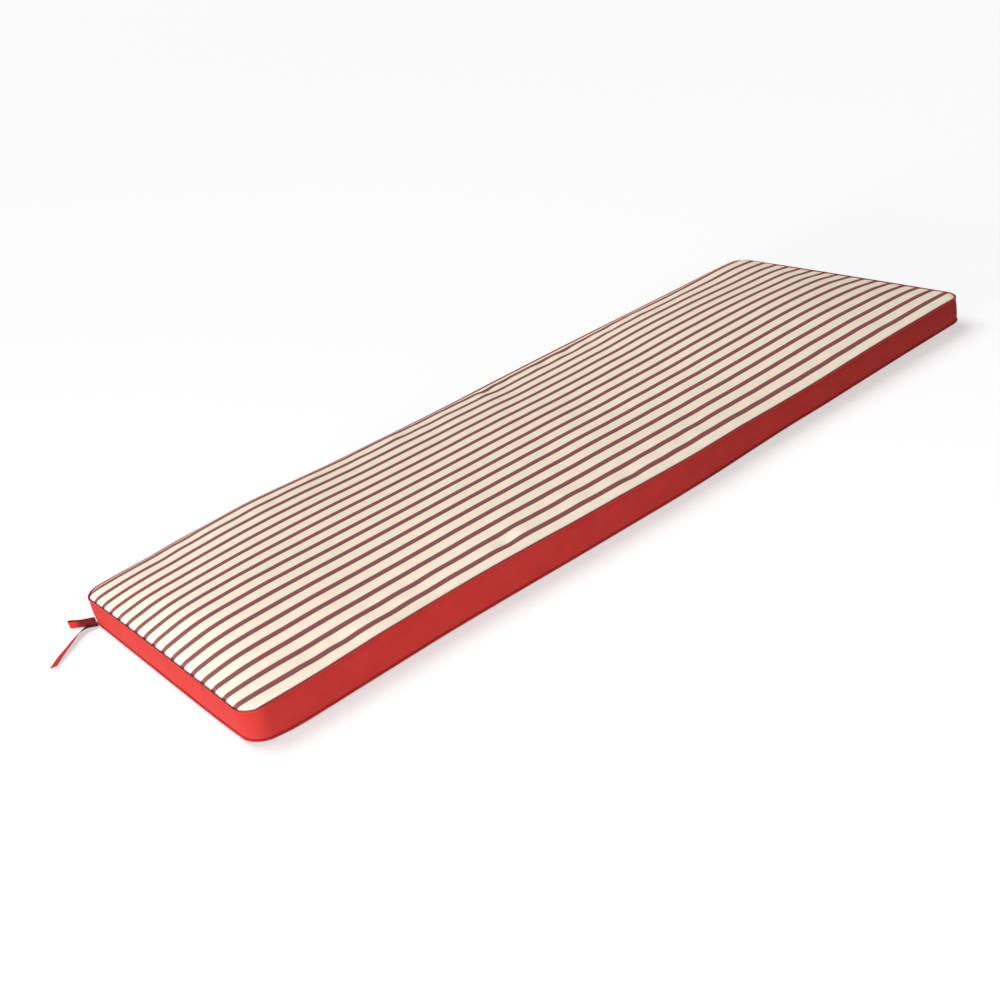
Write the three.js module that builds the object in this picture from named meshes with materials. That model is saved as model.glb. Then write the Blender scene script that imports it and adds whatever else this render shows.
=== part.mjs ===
import * as THREE from 'three';

// Sun lounger cushion with a boxed, piped edge and a corner tie, lying on its back.
// Millimetres, +Z up. The origin is the middle of the underside, +X runs along the
// cushion and +Y across it.

// Overall sizes
const LENGTH = 1890;
const WIDTH = 680;
const CORNER_RADIUS = 38;
const TOP_SEAM = 68.8;
const BOTTOM_SEAM = 4.6;
const GAP = 0.3;

// Cover cloth and piping
const CLOTH = 1.6;
const PIPING_DIAMETER = 4;
const PIPING_SIDES = 8;
const PANEL_INSET = PIPING_DIAMETER / 2 + GAP + 0.05;
const PANEL_EDGE_DROP = 0.3;
const BOXING_BULGE = 2;

// Filled body where it passes under the piping: how far in and how far from the seam line
const NECK_INSET = 3.7;
const SHOULDER_INSET = 0.8;
const SHOULDER_DROP = 3.2;

// Underside: flat where it rests, lifted to its seam round the border
const UNDERSIDE_BORDER = 34;

// Crown of the top. The ends rise over the last stretch, by a power curve. The fullness
// of a long edge starts at its seam within a short roll, and fades towards the middle.
const CROSS_POWER = 2.1;
const END_POWER = { drop: 0.55, from: 560, over: 240 };
const SWELL_SCALE = 2.6;
const HEAD_END = { reach: 200, power: 2.6 };
const FOOT_END = { reach: 280, power: 2.3 };
const END_PUFF = { height: 3.2, start: 5, fade: 45 };
const FULL_ROLL = 8;
const SLACK_ROLL = 30;
const SIDE_POWER = 3.5;
const HEM_POWER = 8;

// One row for each section along the cushion. ridge is the crown's height on the middle
// line, and swell is how much fuller the far half is than the near one. Of each long
// edge, seam is how much its top seam stands above the common height, full is how much
// fuller the top is beside it, and bow is how far it bellies outwards. nearHem is how
// much the near bottom seam is lifted off the surface.
const SECTIONS = namedRows([
  ['x', 'ridge', 'swell', 'nearSeam', 'nearFull', 'nearBow', 'nearHem', 'farSeam', 'farFull', 'farBow'],
  [-945, 26.5, -1.3, -1.0, 0.5, 0.0, 6.0, -8.0, 0.9, -6.0],
  [-870, 23.0, -1.3, 0.9, 0.2, 3.0, 0.0, -5.0, 4.3, -3.5],
  [-800, 22.3, -1.2, 2.0, -1.6, 3.0, 0.0, -4.0, 6.1, -0.5],
  [-730, 22.9, -1.1, 3.3, -3.8, 1.3, 0.0, -0.5, 6.0, 2.0],
  [-660, 22.2, -0.4, 4.8, -5.3, 0.0, 0.0, 0.8, 7.3, 4.0],
  [-560, 20.6, 0.0, 4.6, -4.6, -2.0, 0.0, 3.8, 7.3, 5.0],
  [-450, 19.9, -0.2, 5.6, -3.5, -1.0, 0.0, 1.7, 7.5, 3.5],
  [-350, 19.5, -1.2, 4.5, -1.4, 1.0, 0.0, -0.6, 7.3, 1.5],
  [-250, 19.2, -1.9, 2.8, -1.5, 3.3, 0.0, -0.8, 7.7, 0.0],
  [-120, 19.9, -1.6, 1.3, -3.3, 5.0, 0.0, -2.2, 5.5, 0.0],
  [0, 19.6, -1.8, -0.6, -2.4, 6.5, 0.0, -1.8, 4.1, 0.0],
  [100, 18.4, -1.3, -2.6, 0.2, 5.6, 0.0, -0.5, -1.5, 0.0],
  [220, 19.1, -0.6, -3.6, -0.7, 1.5, 0.6, 0.3, -3.8, 0.0],
  [340, 19.8, 0.0, -6.2, 1.5, 0.0, 3.0, 0.8, -2.7, 0.0],
  [460, 21.9, -0.3, -5.1, 0.7, 0.0, 3.6, 0.6, 3.3, 0.0],
  [600, 23.0, -0.5, -1.4, 0.3, 0.0, 6.0, 0.0, 4.2, 0.0],
  [730, 22.9, -2.0, 0.4, -0.6, 0.0, 8.0, 0.0, 5.0, 0.0],
  [860, 22.8, -2.6, 0.0, 0.8, 0.0, 9.2, 0.4, 7.0, 0.0],
  [945, 27.5, -4.0, -1.0, -0.1, 0.0, 10.0, -1.0, 4.1, 0.0],
]);

// Small pucker where the far edge of the top is caught
const PUCKER = { x: 60, y: 314, depth: 4.5, radius: 24 };

// Mesh density: arcs of the corners, and steps from the middle to each seam
const ARC_STEPS = 5;
const LONG_STEPS = 13;
const LONG_CROWDING = 1.8;
const CROSS_STEPS = 8;
const CROSS_CROWDING = 1.6;

// Corner tie: two strands of one flat tape
const TAPE_WIDTH = 15;
const TAPE_THICKNESS = 1.2;
const FLOOR_CLEARANCE = 0.3;
const TIE_STATIONS = 30;
const TIE_ROOT = (PIPING_DIAMETER - TAPE_THICKNESS) / 2;

// Each row is a place of the strand's lower edge, from the cushion's corner point:
// out is away from the short end, back is beyond the far long side, and lean is the
// angle between the tape and the surface, 90 where it stands on its edge.
const FOLDED_STRAND = [
  { out: 0.9, back: -31.5, lean: 90 },
  { out: 7.6, back: -24.6, lean: 89 },
  { out: 16.8, back: -16.8, lean: 88 },
  { out: 27.0, back: -8.2, lean: 87 },
  { out: 36.0, back: 0.8, lean: 86 },
  { out: 41.6, back: 7.2, lean: 88 },
  { out: 42.2, back: 10.6, lean: 88 },
  { out: 39.2, back: 11.0, lean: 88 },
  { out: 33.6, back: 4.6, lean: 88 },
  { out: 24.9, back: -5.6, lean: 88 },
  { out: 15.1, back: -14.4, lean: 88 },
  { out: 6.2, back: -20.9, lean: 88 },
  { out: -0.1, back: -26.4, lean: 88 },
];
const FREE_STRAND = [
  { out: TIE_ROOT, back: -38.2, lean: 80 },
  { out: 9.0, back: -32.0, lean: 70 },
  { out: 17.8, back: -25.8, lean: 52 },
  { out: 26.7, back: -24.4, lean: 42 },
  { out: 37.6, back: -27.5, lean: 38 },
  { out: 54.4, back: -37.5, lean: 34 },
  { out: 78.2, back: -56.6, lean: 27 },
  { out: 100.4, back: -73.5, lean: 20 },
  { out: 130.0, back: -101.0, lean: 14 },
];

const RED = 0xc42e2c;
const PIPING_RED = 0xc9403f;
const TIE_RED = 0xa8282c;
const CREAM = 0xe9e2c6;
const CLOTH_ROUGHNESS = 0.9;

// A table's first line names its columns
function namedRows([names, ...rows]) {
  return rows.map((row) => Object.fromEntries(names.map((name, k) => [name, row[k]])));
}

// Smooth reading of a table between its rows
function along(table, column, x) {
  const last = table.length - 1;
  if (x <= table[0].x) return table[0][column];
  if (x >= table[last].x) return table[last][column];
  const k = table.findIndex((row) => row.x > x) - 1;
  const t = (x - table[k].x) / (table[k + 1].x - table[k].x);
  return THREE.MathUtils.lerp(table[k][column], table[k + 1][column], t * t * (3 - 2 * t));
}

// What a column of the sections gives at a share of the width, fading from its long edge
function near(x, share, column, power = SIDE_POWER) {
  return along(SECTIONS, column, x) * ((1 - share) / 2) ** power;
}

function far(x, share, column, power = SIDE_POWER) {
  return along(SECTIONS, column, x) * ((1 + share) / 2) ** power;
}

// Shares from -1 to 1, closer together towards both ends
function crowdedShares(steps, crowding) {
  const half = [];
  for (let k = 1; k <= steps; k += 1) half.push(1 - (1 - k / steps) ** crowding);
  return [...half.map((share) => -share).reverse(), 0, ...half];
}

// Columns of the plan. core is the column's place before the corner arc, and sin and
// cos turn it round the arc.
const CORE_LENGTH = LENGTH / 2 - CORNER_RADIUS;
const CORE_WIDTH = WIDTH / 2 - CORNER_RADIUS;

function arcColumns(side) {
  const columns = [];
  for (let k = 0; k <= ARC_STEPS; k += 1) {
    const turn = (k / ARC_STEPS) * (Math.PI / 2);
    columns.push({ core: side * CORE_LENGTH, sin: side * Math.sin(turn), cos: Math.cos(turn) });
  }
  return side < 0 ? columns.reverse() : columns;
}

function straightColumns() {
  const places = crowdedShares(LONG_STEPS, LONG_CROWDING).slice(1, -1).map((share) => share * CORE_LENGTH);
  places.push(PUCKER.x - PUCKER.radius, PUCKER.x + PUCKER.radius);
  places.sort((a, b) => a - b);
  return places.map((core) => ({ core, sin: 0, cos: 1 }));
}

// A plan is a net of columns and rows over the cushion's rounded rectangle
function makePlan(columns, rows) {
  const iLast = columns.length - 1;
  const jLast = rows.length - 1;
  const loop = [];
  for (let i = 0; i <= iLast; i += 1) loop.push([i, 0]);
  for (let j = 1; j <= jLast; j += 1) loop.push([iLast, j]);
  for (let i = iLast - 1; i >= 0; i -= 1) loop.push([i, jLast]);
  for (let j = jLast - 1; j >= 1; j -= 1) loop.push([0, j]);
  const at = (i, j, inset) => {
    const radius = CORNER_RADIUS - inset;
    const x = columns[i].core + radius * columns[i].sin;
    const halfWidth = CORE_WIDTH + radius * columns[i].cos;
    const share = rows[j];
    const bow = far(x, share, 'farBow') - near(x, share, 'nearBow');
    return { x, y: halfWidth * share + bow, share, halfWidth };
  };
  return { iLast, jLast, loop, at };
}

const PLAN = makePlan(
  [...arcColumns(-1), ...straightColumns(), ...arcColumns(1)],
  crowdedShares(CROSS_STEPS, CROSS_CROWDING),
);

// Heights of the two seams and the top. place holds x, y and the share across the width.
function seamHeight({ x, share }) {
  return TOP_SEAM + near(x, share, 'nearSeam') + far(x, share, 'farSeam');
}

function hemHeight({ x, share }) {
  return BOTTOM_SEAM + near(x, share, 'nearHem', HEM_POWER);
}

function panelHeight(place) {
  const toEnd = Math.max(LENGTH / 2 - PANEL_INSET - Math.abs(place.x), 0);
  const toSide = (1 - Math.abs(place.share)) * place.halfWidth;
  const end = place.x < 0 ? HEAD_END : FOOT_END;
  const rise = 1 - Math.max(1 - toEnd / end.reach, 0) ** end.power;
  const part = Math.min(Math.max((Math.abs(place.x) - END_POWER.from) / END_POWER.over, 0), 1);
  const power = CROSS_POWER - END_POWER.drop * part ** 2 * (3 - 2 * part);
  const across = 1 - Math.abs(place.share) ** power;
  const swell = along(SECTIONS, 'swell', place.x) * (place.share - place.share ** 3) * SWELL_SCALE;
  const crown = (along(SECTIONS, 'ridge', place.x) * across + swell) * rise;
  const rolled = (roll) => (1 - Math.exp(-toSide / roll)) * (1 - Math.exp(-toEnd / roll));
  const fuller = (lift) => lift * rolled(lift > 0 ? FULL_ROLL : SLACK_ROLL);
  const nearFullness = fuller(near(place.x, place.share, 'nearFull'));
  const farFullness = fuller(far(place.x, place.share, 'farFull'));
  const puffed = END_PUFF.height * Math.exp(-toEnd / END_PUFF.fade) * (1 - Math.exp(-toEnd / END_PUFF.start));
  const puff = puffed * (1 - Math.exp(-toSide / FULL_ROLL));
  const reach = Math.hypot(place.x - PUCKER.x, place.y - PUCKER.y) / PUCKER.radius;
  const pucker = PUCKER.depth * Math.exp(-reach * reach) * rolled(FULL_ROLL);
  const edge = seamHeight(place) + CLOTH - PANEL_EDGE_DROP;
  return edge + crown + nearFullness + farFullness + puff - pucker;
}

// A closed shell is gathered as points and triangles, then made a geometry
function makeShell() {
  const points = [];
  const triangles = [];
  return {
    points,
    point(x, y, z) {
      points.push([x, y, z]);
      return points.length - 1;
    },
    triangle(a, b, c) {
      triangles.push(a, b, c);
    },
    quad(a, b, c, d) {
      triangles.push(a, b, c, a, c, d);
    },
    geometry() {
      const geometry = new THREE.BufferGeometry();
      geometry.setAttribute('position', new THREE.Float32BufferAttribute(points.flat(), 3));
      geometry.setIndex(triangles);
      geometry.computeVertexNormals();
      return geometry;
    },
  };
}

// A netted face over the whole plan. Its rim may stand further in at the same height,
// and is given back.
function addFace(shell, inset, rimInset, heightAt, facesUp) {
  const net = [];
  for (let i = 0; i <= PLAN.iLast; i += 1) {
    net.push([]);
    for (let j = 0; j <= PLAN.jLast; j += 1) {
      const onRim = i === 0 || j === 0 || i === PLAN.iLast || j === PLAN.jLast;
      const place = PLAN.at(i, j, onRim ? rimInset : inset);
      net[i].push(shell.point(place.x, place.y, heightAt(PLAN.at(i, j, inset))));
    }
  }
  for (let i = 0; i < PLAN.iLast; i += 1) {
    for (let j = 0; j < PLAN.jLast; j += 1) {
      const [near, far] = facesUp ? [net[i + 1][j], net[i][j + 1]] : [net[i][j + 1], net[i + 1][j]];
      shell.quad(net[i][j], near, net[i + 1][j + 1], far);
    }
  }
  return PLAN.loop.map(([i, j]) => net[i][j]);
}

function addRing(shell, inset, heightAt) {
  return PLAN.loop.map(([i, j]) => {
    const place = PLAN.at(i, j, inset);
    return shell.point(place.x, place.y, heightAt(place));
  });
}

// A band between two rings, each quad split from upper to lower or, risen, the other way
function joinRings(shell, upper, lower, risen = false) {
  for (let k = 0; k < upper.length; k += 1) {
    const next = (k + 1) % upper.length;
    if (risen) shell.quad(lower[k], lower[next], upper[next], upper[k]);
    else shell.quad(upper[k], lower[k], lower[next], upper[next]);
  }
}

function addWall(shell, rings) {
  for (let k = 1; k < rings.length; k += 1) joinRings(shell, rings[k - 1], rings[k]);
}

// Flat cap over a level ring
function capRing(shell, ring, facesUp) {
  const outline = ring.map((index) => new THREE.Vector2(shell.points[index][0], shell.points[index][1]));
  for (const [a, b, c] of THREE.ShapeUtils.triangulateShape(outline, [])) {
    if (facesUp) shell.triangle(ring[a], ring[b], ring[c]);
    else shell.triangle(ring[a], ring[c], ring[b]);
  }
}

// Filled body: crowned top, boxing wall drawn in at both seams, flat underside
function boxedBody() {
  const shell = makeShell();
  const undersideTop = CLOTH + GAP;
  const wallHeight = (place, share) => {
    const low = hemHeight(place) + SHOULDER_DROP;
    return low + share * (seamHeight(place) - SHOULDER_DROP - low);
  };
  const wallRing = (share) => {
    const bulge = BOXING_BULGE * Math.sin(share * Math.PI);
    const inset = SHOULDER_INSET * Math.abs(2 * share - 1) - bulge;
    return addRing(shell, inset, (place) => wallHeight(place, share));
  };
  const topHeight = (place) => panelHeight(place) - CLOTH - GAP;
  const top = addFace(shell, PANEL_INSET, NECK_INSET, topHeight, true);
  const neckHeight = (place) => hemHeight(place) + CLOTH / 2 - PANEL_EDGE_DROP + GAP;
  const neck = addRing(shell, NECK_INSET, neckHeight);
  const floor = addRing(shell, UNDERSIDE_BORDER, () => undersideTop);
  addWall(shell, [top, wallRing(1), wallRing(0.75), wallRing(0.5), wallRing(0.25), wallRing(0), neck, floor]);
  capRing(shell, floor, false);
  return shell.geometry();
}

// Striped top panel: a cloth sheet over the crown, edged by the piping
function topPanel() {
  const shell = makeShell();
  const underHeight = (place) => panelHeight(place) - CLOTH;
  const upper = addFace(shell, PANEL_INSET, PANEL_INSET, panelHeight, true);
  const lower = addFace(shell, PANEL_INSET, PANEL_INSET, underHeight, false);
  joinRings(shell, upper, lower);
  return shell.geometry();
}

// Underside panel: a cloth sheet, level where it rests and lifted to the bottom seam
function undersidePanel() {
  const shell = makeShell();
  const edgeHeight = (place) => hemHeight(place) - CLOTH / 2 - PANEL_EDGE_DROP;
  const inside = addRing(shell, UNDERSIDE_BORDER, () => CLOTH);
  const insideEdge = addRing(shell, PANEL_INSET, (place) => edgeHeight(place) + CLOTH);
  const outsideEdge = addRing(shell, PANEL_INSET, edgeHeight);
  const outside = addRing(shell, UNDERSIDE_BORDER, () => 0);
  capRing(shell, inside, true);
  joinRings(shell, inside, insideEdge, true);
  addWall(shell, [insideEdge, outsideEdge, outside]);
  capRing(shell, outside, false);
  return shell.geometry();
}

// Piping: a round cord in its casing, run once round a seam
function piping(heightAt) {
  const shell = makeShell();
  const rings = [];
  for (let k = 0; k < PIPING_SIDES; k += 1) {
    const angle = (k / PIPING_SIDES) * 2 * Math.PI;
    const outward = (PIPING_DIAMETER / 2) * Math.cos(angle);
    const up = (PIPING_DIAMETER / 2) * Math.sin(angle);
    rings.push(addRing(shell, -outward, (place) => heightAt(place) + up));
  }
  for (let k = 0; k < PIPING_SIDES; k += 1) joinRings(shell, rings[(k + 1) % PIPING_SIDES], rings[k]);
  return shell.geometry();
}

// Flat tape along a route of its lower edge
function tape(route) {
  const corner = new THREE.Vector2(-LENGTH / 2, WIDTH / 2);
  const places = route.map((row) => new THREE.Vector3(corner.x - row.out, corner.y + row.back, row.lean));
  const curve = new THREE.CatmullRomCurve3(places, false, 'centripetal');
  const shell = makeShell();
  const sections = [];
  for (let k = 0; k <= TIE_STATIONS; k += 1) {
    const u = k / TIE_STATIONS;
    const place = curve.getPoint(u);
    const tangent = curve.getTangent(u).setZ(0).normalize();
    const aside = new THREE.Vector3(-tangent.y, tangent.x, 0);
    const lean = THREE.MathUtils.degToRad(Math.min(place.z, 90));
    const across = new THREE.Vector3(0, 0, Math.sin(lean)).addScaledVector(aside, Math.cos(lean));
    const normal = new THREE.Vector3().crossVectors(tangent, across).normalize();
    const lift = FLOOR_CLEARANCE + (TAPE_THICKNESS / 2) * Math.abs(normal.z);
    const base = new THREE.Vector3(place.x, place.y, lift);
    const section = [];
    for (const [w, t] of [[0, -1], [TAPE_WIDTH, -1], [TAPE_WIDTH, 1], [0, 1]]) {
      const p = base.clone().addScaledVector(across, w).addScaledVector(normal, (t * TAPE_THICKNESS) / 2);
      section.push(shell.point(p.x, p.y, p.z));
    }
    sections.push(section);
  }
  for (let k = 1; k < sections.length; k += 1) {
    for (let side = 0; side < 4; side += 1) {
      const next = (side + 1) % 4;
      shell.quad(sections[k - 1][side], sections[k - 1][next], sections[k][next], sections[k][side]);
    }
  }
  shell.quad(...[...sections[0]].reverse());
  shell.quad(...sections[sections.length - 1]);
  return shell.geometry();
}

function clothMesh(name, geometry, color) {
  const material = new THREE.MeshStandardMaterial({ color, roughness: CLOTH_ROUGHNESS, metalness: 0 });
  const mesh = new THREE.Mesh(geometry, material);
  mesh.name = name;
  return mesh;
}

const cushion = new THREE.Group();
cushion.add(
  clothMesh('boxed_body', boxedBody(), RED),
  clothMesh('top_panel', topPanel(), CREAM),
  clothMesh('underside_panel', undersidePanel(), RED),
  clothMesh('top_piping', piping(seamHeight), PIPING_RED),
  clothMesh('bottom_piping', piping(hemHeight), PIPING_RED),
  clothMesh('tie_folded_strand', tape(FOLDED_STRAND), TIE_RED),
  clothMesh('tie_free_strand', tape(FREE_STRAND), TIE_RED),
);

export default cushion;
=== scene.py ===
import math
from types import SimpleNamespace

import bmesh
import bpy
import numpy as np
from mathutils import Matrix, Vector


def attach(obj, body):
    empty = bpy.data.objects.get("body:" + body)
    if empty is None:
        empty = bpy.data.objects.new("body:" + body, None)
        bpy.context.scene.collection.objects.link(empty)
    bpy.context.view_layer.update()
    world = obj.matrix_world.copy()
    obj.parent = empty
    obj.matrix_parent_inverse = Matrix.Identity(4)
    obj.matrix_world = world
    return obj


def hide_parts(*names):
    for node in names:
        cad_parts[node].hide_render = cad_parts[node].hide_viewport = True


# Sun lounger cushion: striped top, plain boxed sides, piped seams and a corner tie.
# Sizes and places are in millimetres unless a comment says metres. Meshes are in metres.

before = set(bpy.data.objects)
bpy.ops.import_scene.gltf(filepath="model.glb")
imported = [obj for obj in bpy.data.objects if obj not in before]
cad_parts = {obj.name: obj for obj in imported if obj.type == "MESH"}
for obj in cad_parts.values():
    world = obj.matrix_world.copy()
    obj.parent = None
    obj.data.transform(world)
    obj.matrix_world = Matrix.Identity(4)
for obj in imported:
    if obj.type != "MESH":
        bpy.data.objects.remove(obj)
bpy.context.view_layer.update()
MM = 0.001

# Overall sizes, as in the frame
LENGTH = 1890
WIDTH = 680
CORNER_RADIUS = 38
TOP_SEAM = 68.8
BOTTOM_SEAM = 4.6
GAP = 0.3
CLOTH = 1.6
PIPING_RADIUS = 2.0
SEAM_EASE = 0.05
PANEL_INSET = PIPING_RADIUS + GAP + SEAM_EASE
PANEL_EDGE_DROP = 0.3
CORE_LENGTH = LENGTH / 2 - CORNER_RADIUS
CORE_WIDTH = WIDTH / 2 - CORNER_RADIUS

# Boxing: how far it bellies out, how it tucks in behind the piping at each seam, how far
# the body's edge under the panels lies in, and how deep below the seam its rings are
BOXING_BULGE = 2.0
TUCK_DEPTH = 4.2
TUCK_ROLL = 1.9
BODY_EDGE_INSET = 1.3
BOXING_DEPTHS = (0.9, 1.5, 2.2, 3.0, 4.0, 5.2, 7.0, 10.0, 14.0, 19.0, 25.0)

# Ripples: how many waves add up to one and how their periods spread. On the boxing, the
# depth, then period and seed of the long ones all over and of the short ones that fade
# below the top seam.
RIPPLE_WAVES = 6
RIPPLE_SPREAD = (0.6, 1.7)
BOXING_RIPPLE = 0.45
LONG_RIPPLE = (95, 4)
SHORT_RIPPLE = (24, 9)
SHORT_RIPPLE_SHARE = 0.3
SHORT_RIPPLE_FADE = 9

# Piping: sides of its section, and the small pinches of its casing
PIPING_SIDES = 12
PINCH_DEPTH = 0.07
PINCH_PERIOD = 11
PINCH_TWIST = 2.5
PINCH_ANGLE = 2.2
TOP_PIPING_SEED = 21
BOTTOM_PIPING_SEED = 22

# Seam stitches: how far inside the panel's edge they run and how high they stand
TOP_STITCH_INSET = 0.25
TOP_STITCH_LIFT = 0.35
BOTTOM_STITCH_INSET = 0.4
BOTTOM_STITCH_LIFT = 0.1

# Nets over the cushion: steps along and how they crowd towards the ends, steps across and
# how they crowd towards the edges, and steps round each corner. Points of a mesh closer
# than the weld distance, in metres, become one.
COVER_NET = (80, 1.0, 29, 1.0, 4)
TOP_NET = (112, 1.15, 40, 1.35, 12)
BODY_NET = (100, 1.15, 34, 1.5, 12)
UNDERSIDE_NET = (70, 1.5, 26, 1.6, 10)
PIPING_NET = (420, 1.0, 150, 1.0, 22)
STITCH_NET = (300, 1.0, 100, 1.0, 16)
WELD_DISTANCE = 2e-6

# Underside: flat where it rests, lifted to its seam round the border
UNDERSIDE_BORDER = 34
UNDERSIDE_POWER = 1.3

# Crown of the top. Its curve across has a power that drops towards the short ends, where
# it rises within a reach and by a power of its own, with a low puff beside the seam. The
# rolls say how soon the top is full beside a seam. The side and hem powers say how soon
# what belongs to one long edge fades towards the other.
CROSS_POWER = 2.1
END_POWER_DROP = 0.55
END_POWER_FROM = 560
END_POWER_OVER = 240
SWELL_SCALE = 2.6
HEAD_END = (200, 2.6)
FOOT_END = (280, 2.3)
END_PUFF = 3.2
END_PUFF_START = 5
END_PUFF_FADE = 45
FULL_ROLL = 8
SLACK_ROLL = 30
SIDE_POWER = 3.5
HEM_POWER = 8
EDGE_TUCK = 1.1
EDGE_ROLL = 2.6

# Notches in the short ends of the top, one where each stripe is caught in the seam
NOTCH_DEPTH = 1.3
NOTCH_REACH = 7

# One row for each section along the cushion: the crown's height on the middle line, how
# much fuller the far half is than the near one, and of each long edge how much its seam
# stands above the common height, how much fuller the top is beside it, how far it bellies
# outwards, and how far the near bottom seam lifts.
SECTION_COLUMNS = (
    "x",
    "ridge",
    "swell",
    "near_seam",
    "near_full",
    "near_bow",
    "near_hem",
    "far_seam",
    "far_full",
    "far_bow",
)
SECTION_ROWS = (
    (-945, 26.5, -1.3, -1.0, 0.5, 0.0, 6.0, -8.0, 0.9, -6.0),
    (-870, 23.0, -1.3, 0.9, 0.2, 3.0, 0.0, -5.0, 4.3, -3.5),
    (-800, 22.3, -1.2, 2.0, -1.6, 3.0, 0.0, -4.0, 6.1, -0.5),
    (-730, 22.9, -1.1, 3.3, -3.8, 1.3, 0.0, -0.5, 6.0, 2.0),
    (-660, 22.2, -0.4, 4.8, -5.3, 0.0, 0.0, 0.8, 7.3, 4.0),
    (-560, 20.6, 0.0, 4.6, -4.6, -2.0, 0.0, 3.8, 7.3, 5.0),
    (-450, 19.9, -0.2, 5.6, -3.5, -1.0, 0.0, 1.7, 7.5, 3.5),
    (-350, 19.5, -1.2, 4.5, -1.4, 1.0, 0.0, -0.6, 7.3, 1.5),
    (-250, 19.2, -1.9, 2.8, -1.5, 3.3, 0.0, -0.8, 7.7, 0.0),
    (-120, 19.9, -1.6, 1.3, -3.3, 5.0, 0.0, -2.2, 5.5, 0.0),
    (0, 19.6, -1.8, -0.6, -2.4, 6.5, 0.0, -1.8, 4.1, 0.0),
    (100, 18.4, -1.3, -2.6, 0.2, 5.6, 0.0, -0.5, -1.5, 0.0),
    (220, 19.1, -0.6, -3.6, -0.7, 1.5, 0.6, 0.3, -3.8, 0.0),
    (340, 19.8, 0.0, -6.2, 1.5, 0.0, 3.0, 0.8, -2.7, 0.0),
    (460, 21.9, -0.3, -5.1, 0.7, 0.0, 3.6, 0.6, 3.3, 0.0),
    (600, 23.0, -0.5, -1.4, 0.3, 0.0, 6.0, 0.0, 4.2, 0.0),
    (730, 22.9, -2.0, 0.4, -0.6, 0.0, 8.0, 0.0, 5.0, 0.0),
    (860, 22.8, -2.6, 0.0, 0.8, 0.0, 9.2, 0.4, 7.0, 0.0),
    (945, 27.5, -4.0, -1.0, -0.1, 0.0, 10.0, -1.0, 4.1, 0.0),
)
SECTIONS = {name: np.array(values) for name, values in zip(SECTION_COLUMNS, zip(*SECTION_ROWS))}

# Small puckers where the top is caught beside its seam: place, depth and radius. A depth
# below zero is a small swell.
PUCKERS = (
    (68, 318, 4.5, 20),
    (46, 292, -2.2, 18),
    (10, 318, 0.9, 18),
    (120, 314, 2.4, 24),
    (200, 288, -1.4, 20),
    (240, 308, 1.4, 20),
    (312, 306, 3.0, 22),
    (352, 284, -1.2, 18),
    (404, 306, -1.0, 18),
    (446, 300, 1.8, 20),
    (540, 300, -1.3, 22),
    (650, 318, 0.8, 20),
    (-45, 300, 0.9, 20),
    (-130, 318, 0.6, 16),
    (-172, 300, 1.0, 18),
    (-208, 290, -1.4, 18),
    (-275, 296, 1.4, 22),
    (-320, 318, 1.2, 18),
    (-420, 296, -1.0, 20),
    (-715, 312, 1.0, 24),
    (-358, -292, 2.6, 20),
    (-316, -272, -1.2, 20),
    (-170, -270, -0.8, 20),
    (-50, -300, 2.0, 22),
    (14, -280, -1.1, 20),
    (165, -262, 1.0, 22),
    (-222, -250, 0.8, 20),
    (-545, -264, 0.9, 22),
    (-724, -296, 1.8, 22),
    (-810, -302, -0.8, 18),
    (670, -304, 0.8, 18),
    (720, -304, -0.8, 18),
)

# Cloth of the cover when it is filled: how much too long it is beside its seams and over
# what width, how firmly it is held to its place, and how much of its folds is kept
COVER_FRAMES = 20
COVER_QUALITY = 5
COVER_WALL_ROWS = 7
COVER_MASS = 0.3
COVER_HOLD = 0.1
COVER_BENDING = 20
COVER_PRESSURE = 1.0
COVER_SLACK = 0.015
LOOSE_BAND = 45
BROAD_PASSES = 24
FINE_PASSES = 2
SEAM_FOLD_BAND = 70
SEAM_FOLD_SHARE = 2.0
MIDDLE_FOLD_SHARE = 0.35
TOP_FOLD = 2.0
WALL_FOLD = 0.9

# Stripes run along the cushion. Places are across the flat cloth, from its middle line.
# Their edges are a little blurred, wander slowly and fray finely. The pattern is read from
# a few stripes further out, so that the place in it is never below zero.
STRIPE_PITCH = 38.9
STRIPE_FIRST = -302.5
STRIPE_WIDTH = 13.5
STRIPE_BLUR = 0.5
STRIPE_WANDER = 1.6
STRIPE_FRAY = 0.8
STRIPES_SKIPPED = 10

# Corner tie: flat tape, thinner in its middle than along its selvedges and slightly
# cupped, with painted shade darkening it over a stretch next to the cushion. It comes out
# from behind the bottom piping at its root.
TAPE_WIDTH = 15
TAPE_THICKNESS = 1.2
TAPE_COLUMNS = 11
MIDDLE_THICKNESS = 0.86
FOLDED_CUPPING = 0.25
FREE_CUPPING = 0.2
CUPPING_RUN = 23
FLOOR_CLEARANCE = 0.3
TIE_ROOT = PIPING_RADIUS - TAPE_THICKNESS / 2
# Painted shade on the tie: along the tape, where it starts to fade and where it is gone
TIE_PAINTED_SHADE_END = (30, 48)
ROUTE_STEPS = 7

# Each row is a place of a strand's lower edge from the cushion's corner point: how far out
# from the short end, how far back beyond the far long side, and its lean, the angle
# between the tape and the surface.
FOLDED_STRAND = (
    (0.9, -31.5, 90),
    (7.6, -24.6, 89),
    (16.8, -16.8, 88),
    (27.0, -8.2, 87),
    (36.0, 0.8, 86),
    (41.6, 7.2, 88),
    (42.2, 10.6, 88),
    (39.2, 11.0, 88),
    (33.6, 4.6, 88),
    (24.9, -5.6, 88),
    (15.1, -14.4, 88),
    (6.2, -20.9, 88),
    (-0.1, -26.4, 88),
)
FREE_STRAND = (
    (TIE_ROOT, -38.2, 80),
    (9.0, -32.0, 70),
    (17.8, -25.8, 52),
    (26.7, -24.4, 42),
    (37.6, -27.5, 38),
    (54.4, -37.5, 34),
    (78.2, -56.6, 27),
    (100.4, -73.5, 20),
    (130.0, -101.0, 14),
)

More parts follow.
